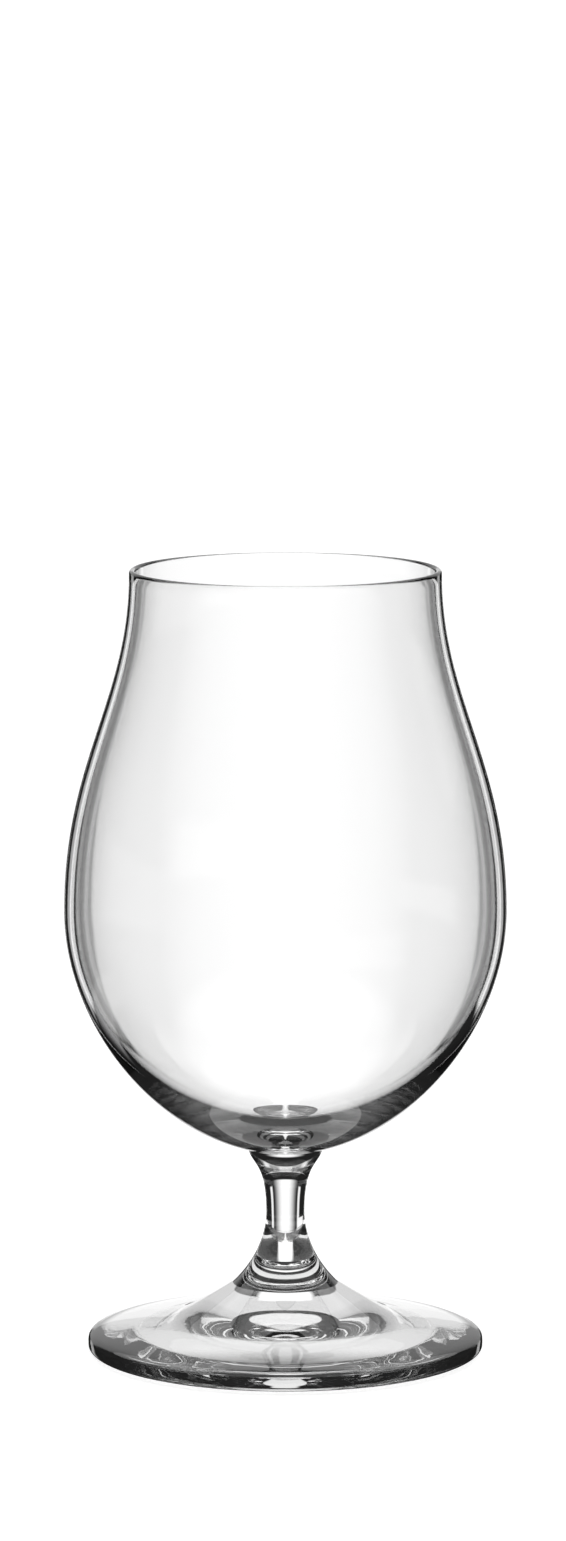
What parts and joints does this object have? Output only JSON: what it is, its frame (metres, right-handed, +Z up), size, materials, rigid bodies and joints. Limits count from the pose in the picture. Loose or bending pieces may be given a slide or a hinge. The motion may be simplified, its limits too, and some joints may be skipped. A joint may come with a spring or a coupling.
{
  "type": "tulip beer glass",
  "caption": "Clear stemmed tulip glass for beer: a round-bellied bowl that narrows to the rim, on a short flared stem and a wide round foot.",
  "frame": {"origin": "middle of the plane that the foot stands on", "axes": "+Z up along the axis of the glass, from the foot to the rim; X and Y lie in the plane that it stands on"},
  "size_m": [0.0882, 0.0882, 0.158],
  "materials": {
    "bowl_glass": "clear fire-polished glass",
    "stem_glass": "clear fire-polished glass",
    "foot_glass": "clear fire-polished glass"
  },
  "bodies": {
    "root": {"bowl": "bowl_glass", "stem": "stem_glass", "foot": "foot_glass"}
  },
  "joints": []
}
